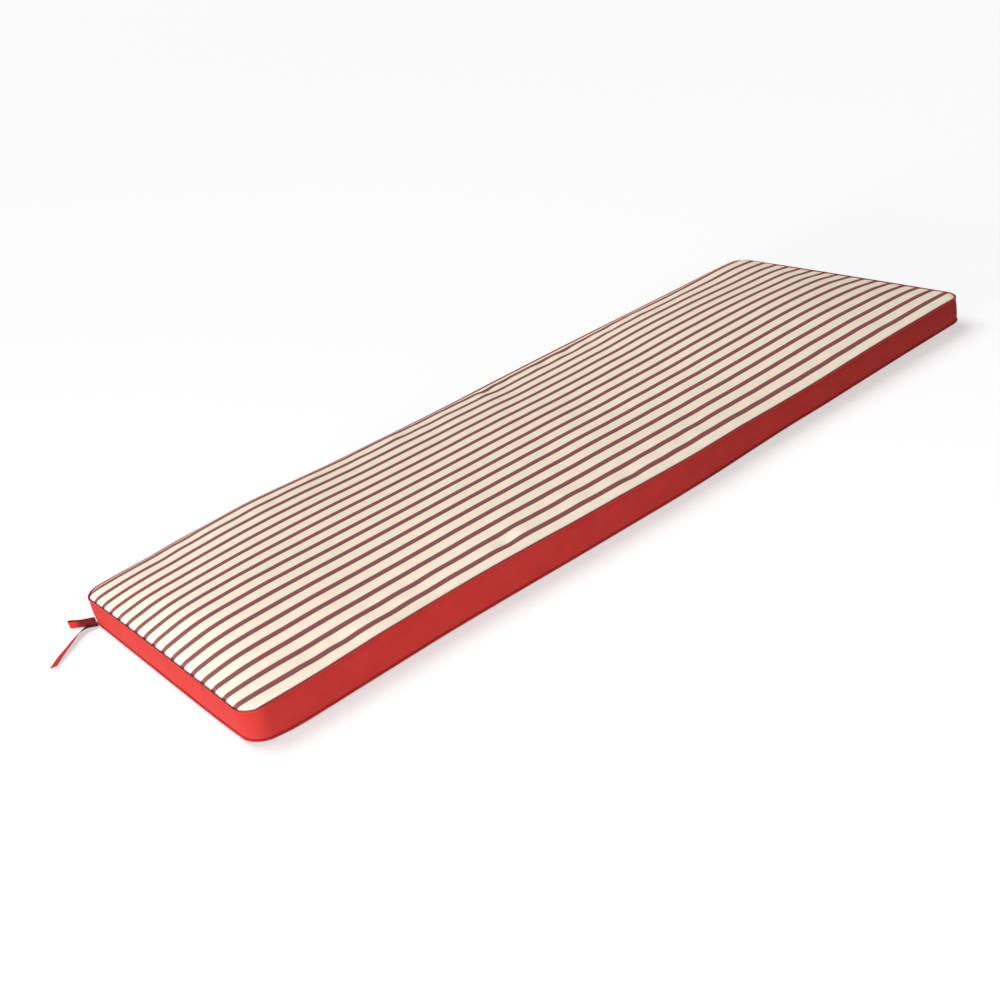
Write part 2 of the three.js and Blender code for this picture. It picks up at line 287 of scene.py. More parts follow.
# Finishes, as linear colours
CREAM = (0.895, 0.773, 0.635)
BURGUNDY = (0.235, 0.074, 0.073)
RED = (0.34, 0.0195, 0.0163)
UNDERSIDE_RED = (0.33, 0.0185, 0.0155)
PIPING_RED = (0.33, 0.0185, 0.0175)
TIE_RED = (0.40, 0.020, 0.018)
# Painted shade: the tie's colour over the stretch next to the cushion
TIE_PAINTED_SHADE_RED = (0.115, 0.007, 0.010)
# Seam thread, dark so that it also serves as painted shade in the seam grooves
THREAD_RED_AND_GROOVE_SHADE = (0.14, 0.012, 0.030)

# Cloth close up: noise along and across a yarn and noises of the stripes' edges, all per
# metre, the painted shade in the weave's gaps, roughness, gloss, and the height of a yarn and its slubs
YARN_LONG = 25
YARN_SHORT = 900
WANDER_NOISE = (6, 6)
FRAY_NOISE = (1400, 300)
PAINTED_PORE_SHADE = 0.10
PAINTED_PORE_BASE = 0.93
YARN_ROUGHNESS = 0.5
CLOTH_ROUGHNESS = 0.86
SHEEN_ROUGHNESS = 0.5
CLOTH_GLOSS = 0.12
YARN_HEIGHT = 0.0004
SLUB_SHARE = 1.5

# Camera, fitted to the photo: its place and how far it sees in metres, its lens and
# sensor in millimetres
CAMERA_PLACE = Vector((-1.55059, -2.16653, 1.29075))
CAMERA_RIGHT = Vector((0.76530, -0.61142, -0.20121))
CAMERA_UP = Vector((0.42771, 0.24944, 0.86882))
CAMERA_AHEAD = Vector((0.48102, 0.75097, -0.45240))
CAMERA_LENS = 50.06
CAMERA_SENSOR = 36
CAMERA_SEES = 100

# Light and floor, with places and sizes in metres
WORLD_LIGHT = 0.14
KEY_LIGHT = {
    "place": (-4.4, -0.6, 0.45),
    "target": (-0.9, 0.0, 0.05),
    "width": 1.2,
    "height": 0.7,
    "power": 240,
    "colour": (1, 0.98, 0.95),
}
SIDE_LIGHT = {
    "place": (-0.75, -1.7, 0.14),
    "target": (-0.7, 0.0, 0.04),
    "width": 0.5,
    "height": 0.12,
    "power": 15,
    "colour": (1, 0.99, 0.97),
}
OVERHEAD_LIGHT = {"direction": (-0.15, 0.65, 1.0), "strength": 2.65, "softness": 45}
FLOOR_REACH = 30
FLOOR_HEIGHT = -0.0004
FLOOR_GREY = (0.45, 0.45, 0.45, 1)
FLOOR_ROUGHNESS = 0.9
FLOOR_GLOW = 0.55
WHITE = (1, 1, 1, 1)


# Shape of the cushion


def read_smoothly(xs, ys, x):
    """The rows ys, given at xs, read smoothly at x."""
    slopes = np.gradient(ys, xs, axis=0)
    x = np.clip(x, xs[0], xs[-1])
    k = np.clip(np.searchsorted(xs, x) - 1, 0, len(xs) - 2)
    step = xs[k + 1] - xs[k]
    t = (x - xs[k]) / step
    if ys.ndim > 1:
        t, step = t[:, None], step[:, None]
    start = (1 + 2 * t) * (1 - t) ** 2 * ys[k] + t * (1 - t) ** 2 * step * slopes[k]
    end = t * t * (3 - 2 * t) * ys[k + 1] - t * t * (1 - t) * step * slopes[k + 1]
    return start + end


def along(column, x):
    """A column of the sections, read smoothly between its rows."""
    return read_smoothly(SECTIONS["x"], SECTIONS[column], x)


def near(place, column, power=SIDE_POWER):
    """What a column of the near long edge adds at a place, fading away from that edge."""
    return along("near_" + column, place.x) * ((1 - place.share) / 2) ** power


def far(place, column, power=SIDE_POWER):
    """What a column of the far long edge adds at a place, fading away from that edge."""
    return along("far_" + column, place.x) * ((1 + place.share) / 2) ** power


def ripple(run, period, seed):
    """A smooth wave along run that never quite repeats, from about -1 to 1."""
    random = np.random.default_rng(seed)
    total = np.zeros_like(run)
    for _ in range(RIPPLE_WAVES):
        turns = run / (period * random.uniform(*RIPPLE_SPREAD)) + random.uniform()
        total = total + np.sin(2 * np.pi * turns)
    return total / (RIPPLE_WAVES / 2)


def crowded(steps, crowding):
    """Shares from -1 to 1, closer together towards both ends."""
    half = 1 - (1 - np.arange(1, steps + 1) / steps) ** crowding
    return np.concatenate([-half[::-1], [0], half])


class Plan:
    """A net of columns and rows over the cushion's rounded rectangle."""

    def __init__(self, long_steps, long_crowding, cross_steps, cross_crowding, arc_steps):
        turn = np.linspace(0, math.pi / 2, arc_steps + 1)
        straight = crowded(long_steps, long_crowding)[1:-1] * CORE_LENGTH
        level = np.zeros_like(straight)
        end = np.full(len(turn), CORE_LENGTH)
        self.core = np.concatenate([-end, straight, end])
        self.sin = np.concatenate([-np.sin(turn)[::-1], level, np.sin(turn)])
        self.cos = np.concatenate([np.cos(turn)[::-1], level + 1, np.cos(turn)])
        self.rows = crowded(cross_steps, cross_crowding)
        i_last, j_last = len(self.core) - 1, len(self.rows) - 1
        near_edge = [(i, 0) for i in range(i_last)]
        foot = [(i_last, j) for j in range(j_last)]
        far_edge = [(i, j_last) for i in range(i_last, 0, -1)]
        head = [(0, j) for j in range(j_last, -1, -1)]
        self.loop = np.array(near_edge + foot + far_edge + head)

    def net(self, inset):
        """Every place of the net, moved in from the edge by inset."""
        radius = CORNER_RADIUS - inset
        place = SimpleNamespace()
        place.x = (self.core + radius * self.sin)[:, None] + 0 * self.rows[None, :]
        place.half = (CORE_WIDTH + radius * self.cos)[:, None] + 0 * place.x
        place.share = self.rows[None, :] + 0 * place.x
        place.y = place.half * place.share + far(place, "bow") - near(place, "bow")
        return place

    def rim(self, inset):
        """The places of the net's edge, once round and back to the first."""
        net = self.net(inset)
        i, j = self.loop.T
        return SimpleNamespace(**{name: value[i, j] for name, value in vars(net).items()})

    def rim_moved_in(self, distances):
        """The rim moved in once for each distance, which may change along it."""
        rim, inner = self.rim(0), self.rim(1)
        for distance in distances:
            moved = SimpleNamespace(**vars(rim))
            moved.x = rim.x + (inner.x - rim.x) * distance
            moved.y = rim.y + (inner.y - rim.y) * distance
            yield moved


def seam_height(place):
    """Height of the top seam."""
    return TOP_SEAM + near(place, "seam") + far(place, "seam")


def hem_height(place):
    """Height of the bottom seam."""
    return BOTTOM_SEAM + near(place, "hem", HEM_POWER)


def to_seam(place):
    """Distances from the seam at the sides and at the ends."""
    side = (1 - np.abs(place.share)) * place.half
    end = np.maximum(LENGTH / 2 - PANEL_INSET - np.abs(place.x), 0)
    return side, end


def panel_height(place):
    """The outer face of the striped top."""
    side, end = to_seam(place)
    end_reach = np.where(place.x < 0, HEAD_END[0], FOOT_END[0])
    end_power = np.where(place.x < 0, HEAD_END[1], FOOT_END[1])
    rise = 1 - np.maximum(1 - end / end_reach, 0) ** end_power
    swell = along("swell", place.x) * (place.share - place.share**3) * SWELL_SCALE
    part = np.clip((np.abs(place.x) - END_POWER_FROM) / END_POWER_OVER, 0, 1)
    cross_power = CROSS_POWER - END_POWER_DROP * part**2 * (3 - 2 * part)
    crown = (along("ridge", place.x) * (1 - np.abs(place.share) ** cross_power) + swell) * rise

    def fuller(lift):
        roll = np.where(lift > 0, FULL_ROLL, SLACK_ROLL)
        return lift * (1 - np.exp(-side / roll)) * (1 - np.exp(-end / roll))

    fullness = fuller(near(place, "full")) + fuller(far(place, "full"))
    off_sides = 1 - np.exp(-side / FULL_ROLL)
    puff = (1 - np.exp(-end / END_PUFF_START)) * np.exp(-end / END_PUFF_FADE)
    fullness = fullness + END_PUFF * puff * off_sides
    for x, y, depth, radius in PUCKERS:
        away = ((place.x - x) ** 2 + (place.y - y) ** 2) / radius**2
        fullness = fullness - depth * np.exp(-away) * off_sides
    tuck = EDGE_TUCK * np.exp(-np.minimum(side, end) / EDGE_ROLL)
    stripes_across = (place.half * place.share - STRIPE_FIRST) / STRIPE_PITCH
    notch = (0.5 + 0.5 * np.cos(2 * np.pi * stripes_across)) ** 2 * off_sides
    tuck = tuck + NOTCH_DEPTH * notch * np.exp(-end / NOTCH_REACH)
    return seam_height(place) + CLOTH - PANEL_EDGE_DROP + crown + fullness - tuck


def underside_height(place):
    """The outer face of the underside: level, then lifted towards its seam."""
    side, end = to_seam(place)
    share = np.clip(1 - np.minimum(side, end) / (UNDERSIDE_BORDER - PANEL_INSET), 0, 1)
    edge = hem_height(place) - CLOTH / 2 - PANEL_EDGE_DROP
    return edge * share**UNDERSIDE_POWER


def run_round(place):
    """How far each place of a rim is along it."""
    steps = np.hypot(np.diff(place.x), np.diff(place.y))
    return np.concatenate([[0], np.cumsum(steps)])


# The cover, filled and let go


def evened(values, passes):
    """Values of a net with each point evened out with its neighbours, but for the rim."""
    values = values.copy()
    for _ in range(passes):
        for axis in (0, 1):
            across = np.moveaxis(values, axis, 0)
            across[1:-1] = (across[:-2] + 2 * across[1:-1] + across[2:]) / 4
    return values


class Cover:
    """A plain net of the cover as cloth. Its seams and its underside are held, the cloth
    beside the seams is a little too long, and pressure fills it. What it gives are the
    small folds of the top and of the boxing: the crown's broad shape stays as measured."""

    def __init__(self):
        self.plan = Plan(*COVER_NET)
        self.place = self.plan.net(PANEL_INSET)
        self.x = self.place.x[:, 0]
        self.run = run_round(self.plan.rim(0))
        self.depths = np.linspace(0, 1, COVER_WALL_ROWS + 2)
        self.rise = np.zeros_like(self.place.x)
        self.swing = np.zeros((len(self.depths), len(self.run)))
        self.fill()

    def wall_ring(self, depth):
        """The points of the net's wall at a share of its depth, once round."""
        rim = self.plan.rim(0)
        belly = BOXING_BULGE * math.sin(math.pi * depth)
        moved = next(self.plan.rim_moved_in([-belly]))
        z = seam_height(rim) + depth * (hem_height(rim) - seam_height(rim))
        return np.stack([moved.x, moved.y, z], -1)[:-1]

    def net_mesh(self):
        """The net as a mesh, with how firmly each point is held and how loose its cloth is."""
        place = self.place
        count = place.x.size
        index = np.arange(count).reshape(place.x.shape)
        i, j = self.plan.loop[:-1].T
        ring = len(i)
        side, end = to_seam(place)
        held = np.full(place.x.shape, COVER_HOLD)
        held[i, j] = 1
        loose = np.exp(-((np.minimum(side, end) / LOOSE_BAND) ** 2))
        points = [np.stack([place.x, place.y, panel_height(place)], -1).reshape(-1, 3)]
        rings = [index[i, j]]
        for k, depth in enumerate(self.depths[1:-1]):
            points.append(self.wall_ring(depth))
            rings.append(count + k * ring + np.arange(ring))
        under = count + COVER_WALL_ROWS * ring + index
        points.append(np.stack([place.x, place.y, underside_height(place)], -1).reshape(-1, 3))
        rings.append(under[i, j])

        def squares(a, b, c, d):
            return np.stack([a, b, c, d], -1).reshape(-1, 4)

        faces = [squares(index[:-1, :-1], index[1:, :-1], index[1:, 1:], index[:-1, 1:])]
        faces.append(squares(under[:-1, :-1], under[:-1, 1:], under[1:, 1:], under[1:, :-1]))
        for upper, lower in zip(rings, rings[1:]):
            faces.append(squares(upper, lower, np.roll(lower, -1), np.roll(upper, -1)))
        wall = np.ones(COVER_WALL_ROWS * ring)
        held = np.concatenate([held.ravel(), wall * COVER_HOLD, np.ones(count)])
        loose = np.concatenate([loose.ravel(), wall, np.zeros(count)])
        mesh = bpy.data.meshes.new("cover_net")
        mesh.from_pydata((np.concatenate(points) * MM).tolist(), [], np.concatenate(faces).tolist())
        return mesh, {"held": held, "loose": loose}

    def fill(self):
        """Runs the cloth and keeps its folds."""
        mesh, weights = self.net_mesh()
        net = bpy.data.objects.new("cover_net", mesh)
        scene = bpy.context.scene
        scene.collection.objects.link(net)
        for name, values in weights.items():
            group = net.vertex_groups.new(name=name)
            values = np.round(values, 2)
            for value in np.unique(values):
                group.add(np.flatnonzero(values == value).tolist(), float(value), "REPLACE")
        cloth = net.modifiers.new("cloth", "CLOTH")
        settings = cloth.settings
        settings.quality = COVER_QUALITY
        settings.mass = COVER_MASS
        settings.bending_stiffness = COVER_BENDING
        settings.vertex_group_mass = "held"
        settings.pin_stiffness = 1.0
        settings.use_pressure = True
        settings.uniform_pressure_force = COVER_PRESSURE
        settings.vertex_group_shrink = "loose"
        settings.shrink_min = 0
        settings.shrink_max = -COVER_SLACK
        settings.effector_weights.gravity = 0
        cloth.point_cache.frame_start, cloth.point_cache.frame_end = 1, COVER_FRAMES
        for number in range(1, COVER_FRAMES + 1):
            scene.frame_set(number)
        before, after = (np.empty(len(mesh.vertices) * 3, np.float32) for _ in range(2))
        mesh.vertices.foreach_get("co", before)
        filled = net.evaluated_get(bpy.context.evaluated_depsgraph_get())
        filled.data.vertices.foreach_get("co", after)
        move = (after - before).reshape(-1, 3) / MM
        bpy.data.objects.remove(net)
        scene.frame_set(1)
        self.keep_folds(move)

    def keep_folds(self, move):
        """Keeps the small folds of the movement, most of all beside the seams, and caps them."""
        count = self.place.x.size
        rise = evened(move[:count, 2].reshape(self.place.x.shape), FINE_PASSES)
        folds = rise - evened(rise, BROAD_PASSES)
        side, end = to_seam(self.place)
        beside = np.exp(-((np.minimum(side, end) / SEAM_FOLD_BAND) ** 2))
        share = MIDDLE_FOLD_SHARE + (SEAM_FOLD_SHARE - MIDDLE_FOLD_SHARE) * beside
        self.rise = TOP_FOLD * np.tanh(folds * share / TOP_FOLD)
        ring = len(self.run) - 1
        rim, inner = self.plan.rim(0), self.plan.rim(1)
        outwards = np.stack([rim.x - inner.x, rim.y - inner.y], -1)[:-1]
        wall_move = move[count : count + COVER_WALL_ROWS * ring, :2].reshape(-1, ring, 2)
        swing = (wall_move * outwards).sum(-1)
        swing = swing - swing.mean(axis=1, keepdims=True)
        swing = WALL_FOLD * np.tanh(evened(swing, FINE_PASSES) * SEAM_FOLD_SHARE / WALL_FOLD)
        self.swing[1:-1] = np.concatenate([swing, swing[:, :1]], axis=1)

    def top_folds(self, plan):
        """How much the small folds lift each place of a plan's top."""
        by_column = read_smoothly(self.x, self.rise, plan.net(PANEL_INSET).x[:, 0])
        return read_smoothly(self.plan.rows, by_column.T, plan.rows).T

    def wall_folds(self, run, depth):
        """How far the small folds stand out from the boxing at a share of its depth."""
        by_run = read_smoothly(self.run / self.run[-1], self.swing.T, run / run[-1])
        return read_smoothly(self.depths, by_run.T, np.array([depth]))[0]


# Meshes of the pieces


def patch(x, y, z, u, v):
    """A patch of a mesh: its places and its place on the flat cloth, in metres."""
    x, y, z, u, v = np.broadcast_arrays(x, y, z, u, v)
    return np.stack([x, y, z], -1) * MM, np.stack([u, v], -1) * MM


def patches_to_mesh(name, patches):
    """Patches sewn edge to edge into one closed mesh, with their flat places as its UV map."""
    points, faces, flats = [], [], []
    base = 0
    for place, flat in patches:
        rows, columns = place.shape[:2]
        index = base + np.arange(rows * columns).reshape(rows, columns)
        quads = np.stack([index[:-1, :-1], index[1:, :-1], index[1:, 1:], index[:-1, 1:]], -1)
        points.append(place.reshape(-1, 3))
        flats.append(flat.reshape(-1, 2))
        faces.append(quads.reshape(-1, 4))
        base += rows * columns
    points, faces, flats = np.concatenate(points), np.concatenate(faces), np.concatenate(flats)
    mesh = bpy.data.meshes.new(name)
    mesh.from_pydata(points.tolist(), [], faces.tolist())
    uv = mesh.uv_layers.new(name="flat")
    uv.data.foreach_set("uv", flats[faces.reshape(-1)].astype(np.float32).ravel())
    tidy = bmesh.new()
    tidy.from_mesh(mesh)
    bmesh.ops.remove_doubles(tidy, verts=tidy.verts, dist=WELD_DISTANCE)
    bmesh.ops.recalc_face_normals(tidy, faces=tidy.faces)
    tidy.to_mesh(mesh)
    tidy.free()
    mesh.polygons.foreach_set("use_smooth", [True] * len(mesh.polygons))
    return mesh


def place_piece(name, mesh, material, node):
    """Puts a finished mesh on the body, in place of its CAD node where it has one."""
    piece = bpy.data.objects.new(name, mesh)
    bpy.context.scene.collection.objects.link(piece)
    piece.data.materials.clear()
    piece.data.materials.append(material)
    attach(piece, "root")
    if node:
        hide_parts(node)
    return piece


def column_of(values):
    """Values of a rim as one row of a patch."""
    return values[None, :]


def band(rims, heights, run, offsets):
    """A patch over rims that lie one above the other, as on the boxing and the piping."""
    x = np.stack([rim.x for rim in rims])
    y = np.stack([rim.y for rim in rims])
    z = np.stack(heights)
    return patch(x, y, z, column_of(run), np.array(offsets)[:, None])


def panel_mesh(name, plan, height, inwards, across):
    """A panel as one closed sheet: its outer face, its inner face and its edge. across is
    the place across on the flat cloth."""
    place = plan.net(PANEL_INSET)
    outer = patch(place.x, place.y, height, place.x, across)
    inner = patch(place.x, place.y, height + inwards, place.x, across)
    i, j = plan.loop.T
    rim = plan.rim(PANEL_INSET)
    z = np.stack([height[i, j], height[i, j] + inwards])
    edge = patch(column_of(rim.x), column_of(rim.y), z, column_of(rim.x), column_of(across[i, j]))
    return patches_to_mesh(name, [outer, inner, edge])


def top_panel_mesh(cover):
    plan = Plan(*TOP_NET)
    place = plan.net(PANEL_INSET)
    height = panel_height(place) + cover.top_folds(plan)
    return panel_mesh("striped_top", plan, height, -CLOTH, place.half * place.share)


def underside_panel_mesh():
    plan = Plan(*UNDERSIDE_NET)
    place = plan.net(PANEL_INSET)
    return panel_mesh("underside", plan, underside_height(place), CLOTH, place.y)


def boxing_tilt(cover, run, depth, wall):
    """How far in from the seam line the boxing lies at a depth below the top seam."""
    tuck = TUCK_DEPTH * (math.exp(-depth / TUCK_ROLL) + math.exp(-(wall - depth) / TUCK_ROLL))
    arch = math.sin(math.pi * depth / wall)
    soft = BOXING_RIPPLE * arch * ripple(run, *LONG_RIPPLE)
    fading = SHORT_RIPPLE_SHARE * BOXING_RIPPLE * math.exp(-depth / SHORT_RIPPLE_FADE)
    soft = soft + fading * ripple(run, *SHORT_RIPPLE)
    soft = soft + cover.wall_folds(run, depth / wall)
    return tuck - BOXING_BULGE * arch - soft


def filled_body_mesh(cover):
    """The filled body: its crown, its flat underside and the boxing as its side wall."""
    plan = Plan(*BODY_NET)
    inset = PANEL_INSET + BODY_EDGE_INSET
    place = plan.net(inset)
    seam = plan.net(PANEL_INSET)
    height = panel_height(seam) + cover.top_folds(plan) - CLOTH - GAP
    top = patch(place.x, place.y, height, place.x, place.y)
    floor = underside_height(seam) + CLOTH + GAP
    bottom = patch(place.x, place.y, floor, place.x, place.y)
    i, j = plan.loop.T
    run = run_round(plan.rim(0))
    wall = TOP_SEAM - BOTTOM_SEAM
    depths = [*BOXING_DEPTHS, *(wall - depth for depth in reversed(BOXING_DEPTHS))]
    tilts = [boxing_tilt(cover, run, depth, wall) for depth in depths]
    rims = [plan.rim(inset)]
    heights = [height[i, j]]
    for depth, rim in zip(depths, plan.rim_moved_in(tilts)):
        rims.append(rim)
        heights.append(seam_height(rim) - depth / wall * (seam_height(rim) - hem_height(rim)))
    rims.append(plan.rim(inset))
    heights.append(floor[i, j])
    return patches_to_mesh("boxing", [top, bottom, band(rims, heights, run, [0, *depths, wall])])


def piping_mesh(name, height_at, seed):
    """One closed run of piping along a seam, its casing slightly pinched here and there."""
    plan = Plan(*PIPING_NET)
    line = plan.rim(0)
    run = run_round(line)
    angles = [2 * math.pi * side / PIPING_SIDES for side in range(PIPING_SIDES + 1)]
    radii = []
    for side, angle in enumerate(angles):
        pinch = PINCH_DEPTH * ripple(run - PINCH_TWIST * side, PINCH_PERIOD, seed)
        radii.append(PIPING_RADIUS + pinch * (0.5 + 0.5 * math.cos(angle - PINCH_ANGLE)))
    tilts = [-radius * math.cos(angle) for radius, angle in zip(radii, angles)]
    rims = list(plan.rim_moved_in(tilts))
    heights = [height_at(line) + radius * math.sin(angle) for radius, angle in zip(radii, angles)]
    offsets = [angle * PIPING_RADIUS for angle in angles]
    return patches_to_mesh(name, [band(rims, heights, run, offsets)])


def smooth_route(rows, count):
    """Evenly read points of a smooth curve through the rows, and their directions."""
    points = np.array(rows, float)
    points = np.vstack([2 * points[0] - points[1], points, 2 * points[-1] - points[-2]])
    out = []
    for k in range(1, len(points) - 2):
        p0, p1, p2, p3 = points[k - 1 : k + 3]
        steps = (p1 - p0, p2 - p1, p3 - p2)
        d1, d2, d3 = (np.linalg.norm(step) ** 0.5 for step in steps)
        m1 = (p1 - p0) / d1 - (p2 - p0) / (d1 + d2) + (p2 - p1) / d2
        m2 = (p2 - p1) / d2 - (p3 - p1) / (d2 + d3) + (p3 - p2) / d3
        m1, m2 = m1 * d2, m2 * d2
        for t in np.linspace(0, 1, count, endpoint=False):
            h = (2 * t**3 - 3 * t**2 + 1, t**3 - 2 * t**2 + t, -2 * t**3 + 3 * t**2, t**3 - t**2)
            out.append(h[0] * p1 + h[1] * m1 + h[2] * p2 + h[3] * m2)
    out.append(points[-2])
    out = np.array(out)
    direction = np.gradient(out[:, :2], axis=0)
    direction /= np.linalg.norm(direction, axis=1, keepdims=True)
    return out, direction


def tape_mesh(name, rows, cupping):
    """A flat woven tape along its route, slightly cupped across, with square cut ends."""
    route, direction = smooth_route(rows, ROUTE_STEPS)
    out, back, lean = route.T
    x = -LENGTH / 2 - out
    y = WIDTH / 2 + back
    heading = np.stack([-direction[:, 0], direction[:, 1]], 1)
    lean = np.radians(np.minimum(lean, 90))
    aside = np.stack([-heading[:, 1], heading[:, 0], np.zeros(len(x))], 1)
    upright = np.array([0, 0, 1.0])
    across = upright * np.sin(lean)[:, None] + aside * np.cos(lean)[:, None]
    normal = np.cross(np.column_stack([heading, np.zeros(len(x))]), across)
    normal /= np.linalg.norm(normal, axis=1, keepdims=True)
    lift = FLOOR_CLEARANCE + TAPE_THICKNESS / 2 * np.abs(normal[:, 2])
    base = np.column_stack([x, y, lift])
    run = np.concatenate([[0], np.cumsum(np.linalg.norm(np.diff(base[:, :2], axis=0), axis=1))])
    width = np.linspace(0, TAPE_WIDTH, TAPE_COLUMNS)
    share = width / TAPE_WIDTH
    thickness = MIDDLE_THICKNESS + (1 - MIDDLE_THICKNESS) * np.abs(2 * share - 1) ** 3
    bend = cupping * (4 * share * (1 - share))[None, :] * np.sin(run / CUPPING_RUN)[:, None]
    middle = base[:, None] + across[:, None] * width[None, :, None]
    faces = []
    for side in (-1, 1):
        offset = bend + side * TAPE_THICKNESS / 2 * thickness[None, :]
        faces.append(middle + normal[:, None] * offset[..., None])
    flat_u, flat_v = run[:, None] + 0 * width[None, :], width[None, :] + 0 * run[:, None]
    patches = []
    for place in faces:
        patches.append((place * MM, np.stack([flat_u, flat_v], -1) * MM))
    for cut in (np.s_[:, 0], np.s_[:, -1], np.s_[0, :], np.s_[-1, :]):
        edge = np.stack([faces[0][cut], faces[1][cut]])
        flat = np.stack([flat_u[cut], flat_v[cut]], -1)
        patches.append((edge * MM, np.stack([flat, flat]) * MM))
    return patches_to_mesh(name, patches), run[-1]


# Finishes


def add(tree, kind, values=None, **settings):
    """A node with its settings, and values on its named or numbered inputs."""
    node = tree.nodes.new(kind)
    for name, value in settings.items():
        setattr(node, name, value)
    for name, value in (values or {}).items():
        target = node.inputs[name]
        if isinstance(value, bpy.types.NodeSocket):
            tree.links.new(value, target)
        else:
            target.default_value = value
    return node


def math_node(tree, operation, *values, clamp=False):
    """The result of a sum with these values."""
    node = add(tree, "ShaderNodeMath", dict(enumerate(values)), operation=operation, use_clamp=clamp)
    return node.outputs[0]


def mix_colour(tree, blend, factor, a, b):
    """Two colours mixed. The node's inputs 6 and 7 and its output 2 are its colours."""
    node = add(tree, "ShaderNodeMix", {"Factor": factor}, data_type="RGBA", blend_type=blend)
    for socket, value in ((node.inputs[6], a), (node.inputs[7], b)):
        if isinstance(value, bpy.types.NodeSocket):
            tree.links.new(value, socket)
        else:
            socket.default_value = (*value, 1)
    return node.outputs[2]


def noise(tree, place, scale, detail, roughness=0.5):
    """Soft noise from 0 to 1."""
    values = {"Vector": place, "Scale": scale, "Detail": detail, "Roughness": roughness}
    return add(tree, "ShaderNodeTexNoise", values).outputs["Fac"]


def stretched(tree, place, x, y):
    """A place with its two directions scaled."""
    values = {"Vector": place, "Scale": (x, y, 1)}
    return add(tree, "ShaderNodeMapping", values).outputs["Vector"]


def new_group(name, inputs, outputs):
    """An empty shader group with named inputs, their first values, and named outputs."""
    group = bpy.data.node_groups.new(name, "ShaderNodeTree")
    for label, kind, value in inputs:
        socket = group.interface.new_socket(name=label, in_out="INPUT", socket_type=kind)
        if value is not None:
            socket.default_value = value
    for label, kind in outputs:
        group.interface.new_socket(name=label, in_out="OUTPUT", socket_type=kind)
    return group, group.nodes.new("NodeGroupInput"), group.nodes.new("NodeGroupOutput")


def make_plain_weave():
    """Plain weave: threads over and under with painted shade in the gaps where they dip, uneven yarns
    and soft patches of tone.
    """
    group, given, out = new_group(
        "plain_weave",
        [
            ("Place", "NodeSocketVector", None),
            ("Colour", "NodeSocketColor", (1, 1, 1, 1)),
            ("Threads per metre", "NodeSocketFloat", 1400),
            ("Uneven yarn", "NodeSocketFloat", 0.1),
            ("Patches", "NodeSocketFloat", 0.1),
            ("Patch size", "NodeSocketFloat", 0.05),
        ],
        [("Colour", "NodeSocketColor"), ("Roughness", "NodeSocketFloat"), ("Height", "NodeSocketFloat")],
    )
    place = given.outputs["Place"]
    parts = add(group, "ShaderNodeSeparateXYZ", {0: place})
    threads = math_node(group, "MULTIPLY", given.outputs["Threads per metre"], math.pi)
    warp = math_node(group, "SINE", math_node(group, "MULTIPLY", parts.outputs["X"], threads))
    weft = math_node(group, "SINE", math_node(group, "MULTIPLY", parts.outputs["Y"], threads))
    over = math_node(group, "GREATER_THAN", math_node(group, "MULTIPLY", warp, weft), 0)
    warp_height = math_node(group, "MULTIPLY", math_node(group, "ABSOLUTE", warp), over)
    under = math_node(group, "SUBTRACT", 1, over)
    weft_height = math_node(group, "MULTIPLY", math_node(group, "ABSOLUTE", weft), under)
    weave = math_node(group, "ADD", warp_height, weft_height)
    yarn_along = noise(group, stretched(group, place, YARN_LONG, YARN_SHORT), 1, 2)
    yarn_across = noise(group, stretched(group, place, YARN_SHORT, YARN_LONG), 1, 2)
    yarn = math_node(group, "ADD", yarn_along, yarn_across)
    yarn = math_node(group, "SUBTRACT", yarn, 1)
    yarn = math_node(group, "MULTIPLY", yarn, given.outputs["Uneven yarn"])
    patch_scale = math_node(group, "DIVIDE", 1, given.outputs["Patch size"])
    patches = math_node(group, "SUBTRACT", noise(group, place, patch_scale, 3, 0.6), 0.5)
    patches = math_node(group, "MULTIPLY", patches, given.outputs["Patches"])
    # Painted shade: the colour darkens in the gaps where the weave dips
    painted_pore_shade = math_node(group, "MULTIPLY_ADD", weave, PAINTED_PORE_SHADE, PAINTED_PORE_BASE)
    shade = math_node(group, "ADD", math_node(group, "ADD", yarn, patches), painted_pore_shade)
    grey = add(group, "ShaderNodeCombineColor", {0: shade, 1: shade, 2: shade}).outputs[0]
    colour = mix_colour(group, "MULTIPLY", 1.0, given.outputs["Colour"], grey)
    rough = math_node(group, "MULTIPLY_ADD", yarn, YARN_ROUGHNESS, CLOTH_ROUGHNESS, clamp=True)
    slub = math_node(group, "MULTIPLY_ADD", yarn, SLUB_SHARE, weave)
    group.links.new(colour, out.inputs["Colour"])
    group.links.new(rough, out.inputs["Roughness"])
    group.links.new(slub, out.inputs["Height"])
    return group


PLAIN_WEAVE = make_plain_weave()


def new_material(name, sheen, bump):
    """A material with its cloth shader and a bump node, ready for a colour and a height."""
    material = bpy.data.materials.new(name)
    material.use_nodes = True
    tree = material.node_tree
    shader = tree.nodes["Principled BSDF"]
    shader.inputs["Sheen Weight"].default_value = sheen
    shader.inputs["Sheen Roughness"].default_value = SHEEN_ROUGHNESS
    shader.inputs["Specular IOR Level"].default_value = CLOTH_GLOSS
    relief = add(tree, "ShaderNodeBump", {"Strength": bump, "Distance": YARN_HEIGHT})
    tree.links.new(relief.outputs[0], shader.inputs["Normal"])
    flat = add(tree, "ShaderNodeUVMap", uv_map="flat").outputs[0]
    return material, tree, shader, relief, flat


def weave_into(tree, shader, relief, values):
    """Leads the plain weave, with these values, into a cloth shader and its relief."""
    weave = add(tree, "ShaderNodeGroup", values, node_tree=PLAIN_WEAVE)
    tree.links.new(weave.outputs["Colour"], shader.inputs["Base Color"])
    tree.links.new(weave.outputs["Roughness"], shader.inputs["Roughness"])
    tree.links.new(weave.outputs["Height"], relief.inputs["Height"])


